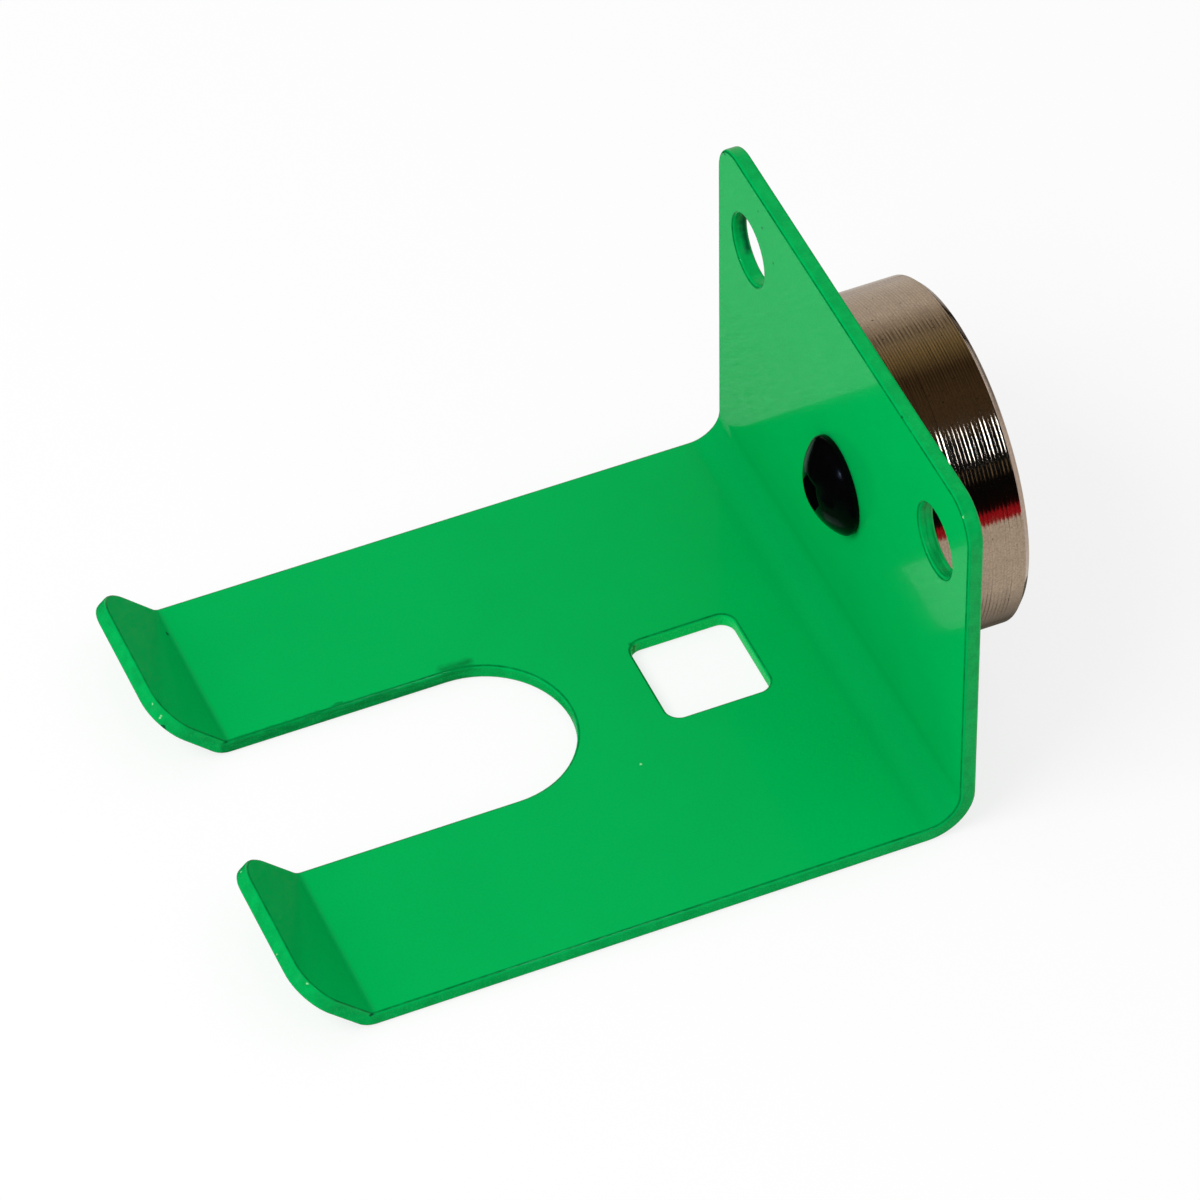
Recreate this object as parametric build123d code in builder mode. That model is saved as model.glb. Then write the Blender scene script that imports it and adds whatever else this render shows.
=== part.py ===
"""Hose hanger: a folded sheet fork that a round pot magnet holds to a wall.

Millimetres. +Z is up and +Y points at the wall. The origin is the centre of
the magnet's face, where it meets the wall.
"""

import os
from math import asin, cos, degrees, radians, sin

from build123d import *

# Folded sheet, measured on its upper skin
sheet = 2.0
plate_width = 70.0
flange_height = 50.0
shelf_reach = 74.0
flange_bend_radius = 4.0
lip_angle = 45.0
lip_length = 10.5
lip_bend_radius = 1.2
corner_radius = 5.0

# Openings in the sheet; a reach is measured from the flange's front
slot_width = 22.4
slot_reach = 34.7
square_side = 13.4
square_corner_radius = 1.8
square_reach = 17.8
wall_hole_diameter = 9.0
wall_hole_inset = 8.8
wall_hole_drop = 11.4

# Pot magnet behind the flange
magnet_axis_height = 23.5
cup_diameter = 43.0
cup_length = 13.0
cup_floor = 5.0
cup_wall = 4.0
rim_chamfer = 0.8
seat_chamfer = 0.4
mouth_chamfer = 0.3
resin_width = 2.0
resin_sink = 0.25
magnet_edge_chamfer = 0.3

# Domed screw through the flange into the pot's floor
thread_diameter = 6.0
thread_play = 0.04
screw_hole_play = 0.6
head_diameter = 12.4
head_height = 4.1
crown_radius = 8.0
socket_width = 4.0
socket_depth = 2.3
tip_gap = 0.5
tip_chamfer = 0.7

# Places that follow from the sizes
flange_back = -cup_length
flange_front = flange_back - sheet
shelf_top = -magnet_axis_height
flange_top = shelf_top + flange_height
lip_fold = flange_front - shelf_reach
lip_run = lip_length * cos(radians(lip_angle))
lip_rise = lip_length * sin(radians(lip_angle))
slot_centre = flange_front - slot_reach - slot_width / 2
square_centre = flange_front - square_reach
floor_inside = flange_back + cup_floor
bore_radius = cup_diameter / 2 - cup_wall
magnet_radius = bore_radius - resin_width
tapped_radius = (thread_diameter + thread_play) / 2
crown_centre = flange_front - head_height + crown_radius
crown_span = asin(head_diameter / 2 / crown_radius)

with BuildPart() as hanger_plate:
    # The section is the upper skin's line, thickened downwards and to the wall.
    with BuildSketch(Plane.YZ):
        with BuildLine():
            upper_skin = FilletPolyline(
                (flange_front, flange_top),
                (flange_front, shelf_top),
                (lip_fold, shelf_top),
                (lip_fold - lip_run, shelf_top + lip_rise),
                radius=[flange_bend_radius, lip_bend_radius],
            )
            offset(upper_skin, amount=sheet, side=Side.LEFT)
        make_face()
    extrude(amount=plate_width / 2, both=True)

    # The slot runs out through the lips and leaves two tines.
    with BuildSketch(Plane.XY.offset(shelf_top)):
        with Locations((0, slot_centre)):
            Circle(slot_width / 2)
            Rectangle(slot_width, shelf_reach, align=(Align.CENTER, Align.MAX))
    extrude(amount=lip_rise + sheet, both=True, mode=Mode.SUBTRACT)

    # Every free corner of the sheet is rounded.
    across_lip = Axis((0, 0, 0), (0, sin(radians(lip_angle)), cos(radians(lip_angle))))
    lip_corners = edges().filter_by(across_lip)
    flange_corners = edges().filter_by(Axis.Y).group_by(Axis.Z)[-1]
    fillet(lip_corners + flange_corners, corner_radius)

    # Square hole in the shelf
    with BuildSketch(Plane.XY.offset(shelf_top - sheet)):
        with Locations((0, square_centre)):
            RectangleRounded(square_side, square_side, square_corner_radius)
    extrude(amount=sheet, mode=Mode.SUBTRACT)

    # Wall holes near the flange's top corners, and the magnet's screw hole
    with BuildSketch(Plane.XZ.offset(-flange_back)):
        with Locations((0, flange_top - wall_hole_drop)):
            with GridLocations(plate_width - 2 * wall_hole_inset, 0, 2, 1):
                Circle(wall_hole_diameter / 2)
        Circle((thread_diameter + screw_hole_play) / 2)
    extrude(amount=sheet, mode=Mode.SUBTRACT)
hanger_plate.part.label = "hanger_plate"

with BuildPart() as magnet_cup:
    # Half section: local X is the radius, local Y runs along the axis.
    with BuildSketch():
        with BuildLine():
            Polyline(
                (tapped_radius, flange_back),
                (cup_diameter / 2, flange_back),
                (cup_diameter / 2, 0),
                (bore_radius, 0),
                (bore_radius, floor_inside),
                (tapped_radius, floor_inside),
                close=True,
            )
        make_face()
    revolve(axis=Axis.Y)
    chamfer(edges().group_by(Axis.Y)[-1].sort_by(SortBy.RADIUS)[-1], rim_chamfer)
    chamfer(edges().group_by(Axis.Y)[-1].sort_by(SortBy.RADIUS)[0], mouth_chamfer)
    chamfer(edges().group_by(Axis.Y)[0].sort_by(SortBy.RADIUS)[-1], seat_chamfer)
magnet_cup.part.label = "magnet_cup"

with BuildPart() as magnet_disc:
    with BuildSketch(Plane.XZ):
        Circle(magnet_radius)
    extrude(amount=-floor_inside)
    chamfer(edges().group_by(Axis.Y)[-1], magnet_edge_chamfer)
magnet_disc.part.label = "magnet_disc"

with BuildPart() as potting_ring:
    with BuildSketch(Plane.XZ.offset(resin_sink)):
        Circle(bore_radius)
        Circle(magnet_radius, mode=Mode.SUBTRACT)
    extrude(amount=-floor_inside - resin_sink)
potting_ring.part.label = "potting_ring"

with BuildPart() as domed_screw:
    # Half section: a round crown on a short straight side, and the shank
    with BuildSketch():
        with BuildLine():
            crown = CenterArc((0, crown_centre), crown_radius, 270, degrees(crown_span))
            Polyline(
                crown @ 1,
                (head_diameter / 2, flange_front),
                (thread_diameter / 2, flange_front),
                (thread_diameter / 2, floor_inside - tip_gap),
                (0, floor_inside - tip_gap),
                crown @ 0,
            )
        make_face()
        chamfer(vertices().sort_by_distance((thread_diameter / 2, floor_inside))[0], tip_chamfer)
    revolve(axis=Axis.Y)
    with BuildSketch(Plane.XZ.offset(head_height - flange_front)):
        RegularPolygon(socket_width / 2, 6, major_radius=False)
    extrude(amount=-socket_depth, mode=Mode.SUBTRACT)
domed_screw.part.label = "domed_screw"

os.makedirs("parts", exist_ok=True)
for piece in (hanger_plate, magnet_cup, magnet_disc, potting_ring, domed_screw):
    export_step(piece.part, f"parts/{piece.part.label}.step")
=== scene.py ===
"""Hose hanger: looks for the folded green sheet, its pot magnet and its screw.

Metres, in the part's own frame: +Z is up and +Y points at the wall.
"""

from math import cos, hypot, pi, radians, sin, sqrt, tan

import bmesh
import bpy
from bpy.props import (
    FloatProperty,
    FloatVectorProperty,
    IntProperty,
    PointerProperty,
)
from mathutils import Matrix, Vector, noise


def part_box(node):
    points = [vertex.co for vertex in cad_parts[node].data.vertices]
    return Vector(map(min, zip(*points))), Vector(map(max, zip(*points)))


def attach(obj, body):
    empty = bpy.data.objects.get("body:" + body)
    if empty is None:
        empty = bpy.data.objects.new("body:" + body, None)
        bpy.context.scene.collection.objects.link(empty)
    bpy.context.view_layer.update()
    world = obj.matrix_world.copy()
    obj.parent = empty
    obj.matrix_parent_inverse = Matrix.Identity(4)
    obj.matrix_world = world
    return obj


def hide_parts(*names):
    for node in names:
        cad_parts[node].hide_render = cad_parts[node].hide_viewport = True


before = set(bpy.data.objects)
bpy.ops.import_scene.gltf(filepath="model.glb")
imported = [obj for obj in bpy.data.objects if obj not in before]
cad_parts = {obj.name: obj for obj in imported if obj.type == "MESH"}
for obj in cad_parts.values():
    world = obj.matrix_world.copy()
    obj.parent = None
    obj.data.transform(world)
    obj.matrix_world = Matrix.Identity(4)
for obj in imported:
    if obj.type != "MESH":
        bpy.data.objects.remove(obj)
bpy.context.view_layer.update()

bl_info = {
    "name": "Hose Hanger",
    "version": (1, 0, 0),
    "blender": (4, 5, 0),
    "location": "3D View > Sidebar > Hanger",
    "description": "Builds a coated sheet hose hanger with its pot magnet",
    "category": "Object",
}

MM = 0.001
MERGE = 0.002 * MM
PER_MM = (1000.0, 1000.0, 1000.0)


# Sizes that the frame gives


def wheel(node):
    """Smallest and largest radius about Y, and lowest and highest Y, of a turned node."""
    points = [v.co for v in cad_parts[node].data.vertices]
    radii = [hypot(p.x, p.z) for p in points]
    return min(radii), max(radii), min(p.y for p in points), max(p.y for p in points)


PLATE_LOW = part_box("hanger_plate")[0]
CUP_BORE, CUP_RADIUS, CUP_SEAT, CUP_MOUTH = wheel("magnet_cup")
RING_BORE, RING_RADIUS, CUP_FLOOR, RING_TOP = wheel("potting_ring")
DISC_RADIUS = wheel("magnet_disc")[1]
HEAD_RADIUS, CROWN_TOP, SCREW_TIP = wheel("domed_screw")[1:]

# Sizes of the sheet, the pot, the disc and the screw that a box doesn't give
SHEET = 2.0 * MM
FLANGE_BEND = 4.0 * MM
LIP_FOLD = -89.0 * MM
RIM_BEVEL = 0.8 * MM
SEAT_BEVEL = 0.4 * MM
MOUTH_BEVEL = 0.3 * MM
DISC_BEVEL = 0.3 * MM
CROWN_RADIUS = 8.0 * MM
SHANK_RADIUS = 3.0 * MM
SOCKET_WIDTH = 4.0 * MM
SOCKET_DEPTH = 2.3 * MM
TIP_BEVEL = 0.7 * MM
HEAD_SEAT = CUP_SEAT - SHEET
CROWN_CENTRE = CROWN_TOP + CROWN_RADIUS

# How far edges are eased: the pot's, and the screw's socket, rim and seat
CUP_SOFT = 0.12 * MM
SOCKET_SOFT, RIM_SOFT, SEAT_SOFT = 0.12 * MM, 0.35 * MM, 0.2 * MM

# Fineness: steps round the axis, and rings along it
CUP_STEPS, DISC_STEPS, RESIN_STEPS, SCREW_STEPS = 192, 240, 160, 144
RINGS_PER_GROOVE = 8
SHANK_RINGS = 84

# How far out the socket's eased corners reach, as a share of its flats
SOCKET_CORNER = 1.135


# Settings

COLOUR = {"subtype": "COLOR", "size": 3, "min": 0.0, "max": 1.0}
SHARE = {"subtype": "FACTOR", "min": 0.0, "max": 1.0}


class CoatSettings(bpy.types.PropertyGroup):
    """The powder coat on the folded sheet."""

    colour: FloatVectorProperty(
        name="Coat colour",
        description="Colour of the powder coat",
        default=(0.0, 0.425, 0.086),
        **COLOUR,
    )
    edge_softness: FloatProperty(
        name="Edge softness",
        description="Radius that the coat gives each cut edge of the sheet",
        unit="LENGTH",
        min=0.05 * MM,
        max=0.6 * MM,
        default=0.4 * MM,
    )
    edge_thinning: FloatProperty(
        name="Edge thinning",
        description="How far the coat darkens where it pulls thin over an edge",
        default=0.85,
        **SHARE,
    )
    peel: FloatProperty(
        name="Orange peel",
        description="Strength of the coat's fine ripple",
        default=0.3,
        **SHARE,
    )


class MagnetSettings(bpy.types.PropertyGroup):
    """The turned pot, the ferrite disc and the resin."""

    plating: FloatVectorProperty(
        name="Plating colour",
        description="Colour of the nickel plate on the pot",
        default=(0.6, 0.48, 0.385),
        **COLOUR,
    )
    groove_pitch: FloatProperty(
        name="Groove pitch",
        description="Distance between the lathe's grooves on the pot's side",
        unit="LENGTH",
        min=0.2 * MM,
        max=1.0 * MM,
        default=0.5 * MM,
    )
    groove_depth: FloatProperty(
        name="Groove depth",
        description="Depth of the deepest groove",
        unit="LENGTH",
        min=0.0,
        max=0.1 * MM,
        default=0.018 * MM,
    )
    groove_seed: IntProperty(
        name="Groove seed",
        description="Changes which grooves are deep",
        min=0,
        default=4,
    )
    ferrite: FloatVectorProperty(
        name="Ferrite colour",
        description="Colour of the ground ferrite disc",
        default=(0.052, 0.053, 0.058),
        **COLOUR,
    )
    resin: FloatVectorProperty(
        name="Resin colour",
        description="Colour of the potting resin",
        default=(0.012, 0.012, 0.014),
        **COLOUR,
    )


class ScrewSettings(bpy.types.PropertyGroup):
    """The domed black screw."""

    colour: FloatVectorProperty(
        name="Oxide colour",
        description="Colour of the black oxide on the screw",
        default=(0.0008, 0.0008, 0.001),
        **COLOUR,
    )
    thread_pitch: FloatProperty(
        name="Thread pitch",
        description="Advance of the thread in one turn",
        unit="LENGTH",
        min=0.5 * MM,
        max=1.5 * MM,
        default=1.0 * MM,
    )
    thread_depth: FloatProperty(
        name="Thread depth",
        description="Height of the thread's ridge",
        unit="LENGTH",
        min=0.0,
        max=0.8 * MM,
        default=0.54 * MM,
    )


class StageSettings(bpy.types.PropertyGroup):
    """Floor, lights and background."""

    ambient: FloatProperty(
        name="Ambient light",
        description="Strength of the light that comes from all round",
        min=0.0,
        max=2.0,
        default=0.62,
    )
    lamps: FloatProperty(
        name="Lamp strength",
        description="Scales the soft lamp",
        min=0.0,
        max=4.0,
        default=1.0,
    )
    floor_paleness: FloatProperty(
        name="Floor paleness",
        description="How far the floor is lifted to white under its shadows",
        default=0.78,
        **SHARE,
    )


# Node trees


class Wiring:
    """Adds nodes to a tree. An input given as a socket is linked, any other is set."""

    def __init__(self, tree):
        self.tree = tree

    def node(self, kind, inputs=None, **settings):
        made = self.tree.nodes.new(kind)
        for name, value in settings.items():
            setattr(made, name, value)
        self.feed(made, inputs or {})
        return made

    def feed(self, node, inputs):
        for key, value in inputs.items():
            if isinstance(value, bpy.types.NodeSocket):
                self.tree.links.new(value, node.inputs[key])
            else:
                node.inputs[key].default_value = value

    def maths(self, operation, first, second=0.0, third=0.0):
        inputs = {0: first, 1: second, 2: third}
        return self.node("ShaderNodeMath", inputs, operation=operation).outputs[0]

    def plus(self, first, second):
        return self.maths("ADD", first, second)

    def times(self, first, second):
        return self.maths("MULTIPLY", first, second)

    def vector(self, operation, first, second=(0.0, 0.0, 0.0), out=0):
        inputs = {0: first, 1: second}
        return self.node("ShaderNodeVectorMath", inputs, operation=operation).outputs[out]

    def scaled(self, vector, factor):
        inputs = {0: vector, 3: factor}
        return self.node("ShaderNodeVectorMath", inputs, operation="SCALE").outputs[0]

    def spread(self, value, low, high, to_low=0.0, to_high=1.0, soft=False):
        inputs = {"Value": value, "From Min": low, "From Max": high}
        inputs |= {"To Min": to_low, "To Max": to_high}
        kind = "SMOOTHSTEP" if soft else "LINEAR"
        made = self.node("ShaderNodeMapRange", inputs, interpolation_type=kind)
        return made.outputs["Result"]

    def blend(self, share, first, second):
        inputs = {0: share, 6: first, 7: second}
        return self.node("ShaderNodeMix", inputs, data_type="RGBA").outputs[2]

    def object_place(self):
        return self.node("ShaderNodeTexCoord").outputs["Object"]

    def along(self, axis, place):
        return self.node("ShaderNodeSeparateXYZ", {0: place}).outputs[axis]

    def stretched(self, place, stretch):
        inputs = {"Vector": place, "Scale": stretch}
        return self.node("ShaderNodeMapping", inputs).outputs[0]

    def cloud(self, place, scale, detail=2.0, rough=0.5):
        inputs = {"Vector": place, "Scale": scale, "Detail": detail, "Roughness": rough}
        return self.node("ShaderNodeTexNoise", inputs).outputs[0]


def rgba(colour, factor=1.0):
    """A colour times a factor, with its alpha."""
    return (*(factor * c for c in colour[:3]), 1.0)


class Finish(Wiring):
    """A material. Its place socket reads object coordinates in millimetres."""

    def __init__(self, name):
        self.material = bpy.data.materials.new(name)
        self.material.use_nodes = True
        super().__init__(self.material.node_tree)
        self.shader = self.tree.nodes["Principled BSDF"]
        self.object = self.object_place()
        self.place = self.mapped(PER_MM)

    def mapped(self, stretch):
        return self.stretched(self.object, stretch)

    def relief(self, height, depth, strength=1.0, under=None):
        """Bumps the surface by height times depth, in metres."""
        inputs = {"Height": height, "Distance": depth, "Strength": strength}
        if under is not None:
            inputs["Normal"] = under
        return self.node("ShaderNodeBump", inputs).outputs[0]

    def near_box(self, place, centre, half, fade):
        """1 inside a box, in millimetres, falling to 0 over the fade outside it."""
        inside = self.vector("ABSOLUTE", self.vector("SUBTRACT", place, centre))
        beyond = self.vector("MAXIMUM", self.vector("SUBTRACT", inside, half))
        distance = self.vector("LENGTH", beyond, out=1)
        return self.spread(distance, 0.0, fade, 1.0, 0.0)

    def most(self, masks):
        masks = list(masks)
        top = masks[0]
        for mask in masks[1:]:
            top = self.maths("MAXIMUM", top, mask)
        return top

    def painted(self, colour, gloss, normal, more=None):
        """Sets the shader's sockets, and returns the material."""
        inputs = {"Base Color": colour, "Roughness": gloss, "Normal": normal}
        self.feed(self.shader, inputs | (more or {}))
        return self.material


# Finishes

# Marks on the coat: centre and half size in millimetres
CHIPS = (
    ((-13.0, -96.45, -17.75), (0.05, 0.05, 0.05)),
    ((-13.05, -96.25, -17.55), (0.03, 0.06, 0.06)),
    ((-14.6, -96.7, -16.8), (0.03, 0.03, 0.03)),
    ((32.9, -96.0, -17.0), (0.04, 0.07, 0.07)),
    ((32.7, -96.7, -17.7), (0.03, 0.04, 0.04)),
    ((27.3, -97.5, -17.2), (0.02, 0.02, 0.02)),
    ((33.1, -14.9, 25.4), (0.08, 0.08, 0.08)),
    ((11.8, -45.6, -23.5), (0.09, 0.09, 0.09)),
    ((13.9, -96.7, -17.1), (0.1, 0.05, 0.05)),
)
# Dark specks on the coat; the last two are painted shade at the ends of the lips' folds
SPECKS_AND_SHADES = (
    ((-22.1, -15.0, 22.3), (0.12, 0.1, 0.12)),
    ((-18.9, -15.0, 19.4), (0.1, 0.1, 0.1)),
    ((-23.3, -15.0, 23.9), (0.08, 0.08, 0.08)),
    ((-30.4, -89.2, -23.3), (0.2, 0.08, 0.08)),
    ((-33.1, -15.0, 24.9), (0.25, 0.2, 0.1)),
    ((16.7, -15.0, 26.4), (0.12, 0.12, 0.12)),
    ((-12.2, -96.3, -18.7), (0.35, 0.15, 0.2)),
    ((-11.3, -89.1, -23.5), (0.12, 0.12, 0.05)),
    ((34.9, -89.2, -23.5), (0.1, 0.2, 0.08)),
)
# Painted shade along the inner folds of the bends: centre, half size and fade in
# millimetres, and share
FOLD_SHADES = (
    ((0.0, -16.3, -22.2), (36.0, 0.2, 0.2), 4.0, 0.26),
    ((0.0, -88.9, -23.4), (36.0, 0.12, 0.1), 0.5, 0.3),
)
# Painted shade on cut edges inside the slot and in a corner of the square hole: centre,
# half size and fade in millimetres
EDGE_SHADES = (
    ((-11.2, -78.5, -24.3), (0.12, 11.0, 0.75), 0.4),
    ((-11.2, -62.0, -24.6), (0.12, 8.0, 0.5), 0.5),
    ((-11.4, -74.8, -23.5), (0.3, 0.7, 0.1), 0.25),
    ((-11.5, -59.6, -23.6), (0.2, 1.6, 0.2), 1.0),
    ((-6.64, -39.08, -23.6), (0.08, 0.12, 0.1), 0.2),
    ((-6.45, -38.7, -24.4), (0.08, 0.14, 0.6), 0.2),
)
# Painted shade deep in a wall hole: centre, half size and fade in millimetres
SHADE = ((-27.0, -13.2, 16.2), (5.2, 0.4, 4.2), 0.6)
# Wall holes whose wall shows lines round it: centre, half size and fade in millimetres
SWIRLS = (
    ((-26.2, -13.9, 16.6), (4.45, 0.5, 2.6), 0.15),
    ((26.2, -14.0, 15.1), (4.45, 0.6, 4.45), 0.15),
)
# Walls of the square hole, painted lighter against their shade: centre, half size and
# fade
LIT_HOLE_WALLS = ((0.0, -32.8, -24.6), (6.75, 6.75, 0.75), 0.3)
# Fade of a chip's and a dot's outline, and how far it wanders, in millimetres
CHIP_FADE, DOT_FADE, RAGGED = 0.1, 0.12, 0.3
# Stretches of the patterns on the painted edge shade, hole walls, the pot's side and the
# disc's face
EDGE_SHADE_STRETCH, SWIRL_STRETCH = (1500.0, 300.0, 1500.0), (160.0, 2600.0, 160.0)
TURNED_STRETCH, GROUND_STRETCH = (60.0, 9000.0, 60.0), (180.0, 280.0, 3000.0)
# Pitch of the pot's fine lines, as a share of its groove pitch
LINE_SHARE = 0.72


def powder_coat(settings):
    finish = Finish("powder_coat")
    place = finish.place
    green = rgba(settings.colour)
    deep = rgba(settings.colour, 0.5)
    pale = (0.3, 0.72, 0.32, 1.0)
    dark = (0.0, 0.1, 0.03, 1.0)

    # Broad mottle and the powder's own grain
    mottle = finish.spread(finish.cloud(place, 0.09, 3.0), 0.35, 0.7, 0.0, 0.06)
    grain = finish.spread(finish.cloud(place, 3.4, 2.0, 0.7), 0.5, 0.58)
    fine = finish.times(grain, 0.08)
    colour = finish.blend(finish.plus(mottle, fine), green, deep)

    # Uneven coat on the cut faces, and thin coat along their edges
    patchy = finish.cloud(place, 0.7, 4.0, 0.6)
    cut = finish.node("ShaderNodeAttribute", attribute_name="cut_face").outputs["Fac"]
    blotched = finish.times(cut, finish.spread(patchy, 0.35, 0.7, 0.0, 0.45))
    colour = finish.blend(blotched, colour, deep)
    thin = finish.node("ShaderNodeAttribute", attribute_name="arris").outputs["Fac"]
    thin = finish.times(thin, finish.spread(patchy, 0.3, 0.65, 0.5, 1.0))
    thin = finish.times(thin, settings.edge_thinning)
    colour = finish.blend(thin, colour, rgba(settings.colour, 0.25))

    # Painted shade in the folds, and painted light on the square hole's walls
    for centre, half, fade, share in FOLD_SHADES:
        fold_shade = finish.times(finish.near_box(place, centre, half, fade), share)
        colour = finish.blend(fold_shade, colour, deep)
    # Painted light: the square hole's walls lighter than the coat, against the shade in
    # the hole
    painted_light = rgba([min(1.25 * c, 1.0) for c in settings.colour])
    colour = finish.blend(finish.near_box(place, *LIT_HOLE_WALLS), colour, painted_light)

    # Painted shade on cut edges and deep in a wall hole, with outlines that wander, and
    # lines on the hole walls
    inputs = {"Vector": place, "Scale": 0.9, "Detail": 3.0}
    drift = finish.node("ShaderNodeTexNoise", inputs).outputs[1]
    drift = finish.vector("SUBTRACT", drift, (0.5, 0.5, 0.5))
    wandering = finish.vector("ADD", place, finish.scaled(drift, 0.9))
    uneven = finish.cloud(finish.mapped(EDGE_SHADE_STRETCH), 1.0, 3.0, 0.6)
    edge_shaded = finish.most(finish.near_box(wandering, *edge_shade) for edge_shade in EDGE_SHADES)
    edge_shaded = finish.times(edge_shaded, finish.spread(uneven, 0.35, 0.6, 0.45, 1.0))
    lines = finish.cloud(finish.mapped(SWIRL_STRETCH), 1.0, 3.0, 0.6)
    swirled = finish.most(finish.near_box(place, *swirl) for swirl in SWIRLS)
    swirled = finish.times(swirled, finish.spread(lines, 0.42, 0.6, 0.0, 0.9))
    swirled = finish.times(swirled, cut)
    colour = finish.blend(finish.maths("MAXIMUM", edge_shaded, swirled), colour, deep)
    shade = finish.times(finish.near_box(wandering, *SHADE), cut)
    colour = finish.blend(shade, colour, dark)

    # Chips, dark specks, and painted shade at the lips' fold ends, with ragged outlines
    wobble = finish.node("ShaderNodeTexNoise", {"Vector": place, "Scale": 4.0}).outputs[1]
    wobble = finish.vector("SUBTRACT", wobble, (0.5, 0.5, 0.5))
    ragged = finish.vector("ADD", place, finish.scaled(wobble, RAGGED))
    chips = finish.most(finish.near_box(ragged, *chip, CHIP_FADE) for chip in CHIPS)
    specks_and_shades = finish.most(finish.near_box(ragged, *dot, DOT_FADE) for dot in SPECKS_AND_SHADES)
    colour = finish.blend(specks_and_shades, colour, dark)
    colour = finish.blend(chips, colour, pale)

    # Grain, chips and cut faces are duller, and the skin ripples
    gloss = finish.spread(finish.cloud(place, 0.5, 2.0), 0.3, 0.7, 0.04, 0.07)
    for mask, dull in ((grain, 0.14), (chips, 0.3), (cut, 0.12)):
        gloss = finish.plus(gloss, finish.times(mask, dull))
    wave = finish.relief(finish.cloud(place, 0.8, 1.0), 0.012 * MM, settings.peel)
    skin = finish.relief(grain, 0.002 * MM, settings.peel * 2.0, wave)
    sheen = {"Specular IOR Level": 0.12, "Specular Tint": (0.6, 1.0, 0.85, 1.0)}
    return finish.painted(colour, gloss, skin, sheen)


def nickel_plate(settings):
    finish = Finish("nickel_plate")
    place = finish.place
    plating = rgba(settings.plating)
    worn = rgba(settings.plating, 0.6)

    # Marks that run round the pot: the pattern depends on Y and little else
    around = finish.cloud(finish.mapped(TURNED_STRETCH), 1.0, 3.0, 0.65)
    blotch = finish.spread(finish.cloud(place, 0.45, 5.0, 0.7), 0.4, 0.75)
    tint = finish.times(finish.spread(around, 0.3, 0.75), 0.35)
    tint = finish.plus(tint, finish.times(blotch, 0.35))

    # Fine dark lines round the pot, weaker at both sides and in the blotches
    feed = finish.along("Y", finish.object)
    feed = finish.maths("DIVIDE", feed, LINE_SHARE * settings.groove_pitch)
    line = finish.spread(finish.maths("PINGPONG", feed, 0.5), 0.1, 0.3, 1.0, 0.0)
    aside = finish.along("X", place)
    for fade in (
        finish.spread(around, 0.35, 0.65, 0.5, 1.0),
        finish.spread(aside, 7.0, 9.5, 1.0, 0.12),
        finish.spread(aside, -3.0, 3.0, 0.3, 1.0),
        finish.spread(blotch, 0.0, 1.0, 1.0, 0.4),
    ):
        line = finish.times(line, fade)
    colour = finish.blend(tint, plating, worn)
    colour = finish.blend(line, colour, rgba(settings.plating, 0.06))
    speckle = finish.spread(finish.cloud(place, 3.6, 2.0, 0.7), 0.45, 0.62, 0.0, 0.6)
    colour = finish.blend(speckle, colour, worn)
    pits = finish.spread(finish.cloud(place, 2.8, 1.0), 0.73, 0.78)
    colour = finish.blend(pits, colour, (0.05, 0.04, 0.03, 1.0))

    gloss = finish.spread(around, 0.25, 0.8, 0.05, 0.11)
    gloss = finish.plus(gloss, finish.times(blotch, 0.05))
    grain = finish.relief(finish.cloud(place, 6.0, 2.0), 0.002 * MM, 0.3)
    lines = finish.relief(around, 0.005 * MM, 0.8, grain)
    return finish.painted(colour, gloss, lines, {"Metallic": 1.0})


def ground_ferrite(settings):
    finish = Finish("ground_ferrite")
    place = finish.place
    grey = rgba(settings.ferrite)
    scratches = finish.cloud(finish.mapped(GROUND_STRETCH), 1.0, 4.0, 0.65)
    crystals = finish.cloud(place, 4.0, 3.0, 0.7)
    tint = finish.times(finish.spread(scratches, 0.4, 0.65), 0.75)
    colour = finish.blend(tint, grey, rgba(settings.ferrite, 2.3))
    worn = finish.spread(finish.cloud(place, 0.16, 4.0, 0.6), 0.4, 0.7, 0.0, 0.5)
    colour = finish.blend(worn, colour, rgba(settings.ferrite, 0.5))
    pores = finish.spread(crystals, 0.66, 0.72)
    colour = finish.blend(pores, colour, (0.012, 0.012, 0.012, 1.0))
    gloss = finish.spread(scratches, 0.3, 0.7, 0.34, 0.52)
    pitted = finish.relief(pores, -0.01 * MM, 0.8)
    lined = finish.relief(scratches, 0.006 * MM, 0.7, pitted)
    return finish.painted(colour, gloss, lined, {"Specular IOR Level": 0.7})


def potting_resin(settings):
    finish = Finish("potting_resin")
    place = finish.place
    black = rgba(settings.resin)
    haze = finish.spread(finish.cloud(place, 0.8, 3.0), 0.4, 0.75, 0.0, 0.6)
    colour = finish.blend(haze, black, rgba(settings.resin, 2.6))
    bubbles = finish.node("ShaderNodeTexVoronoi", {"Vector": place, "Scale": 0.9})
    pits = finish.spread(bubbles.outputs[0], 0.08, 0.16, 1.0, 0.0, soft=True)
    gloss = finish.spread(finish.cloud(place, 1.6, 2.0), 0.3, 0.7, 0.12, 0.26)
    dented = finish.relief(pits, -0.06 * MM, 0.9)
    rippled = finish.relief(finish.cloud(place, 0.7, 2.0), 0.03 * MM, 0.6, dented)
    return finish.painted(colour, gloss, rippled, {"IOR": 1.55})


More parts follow.
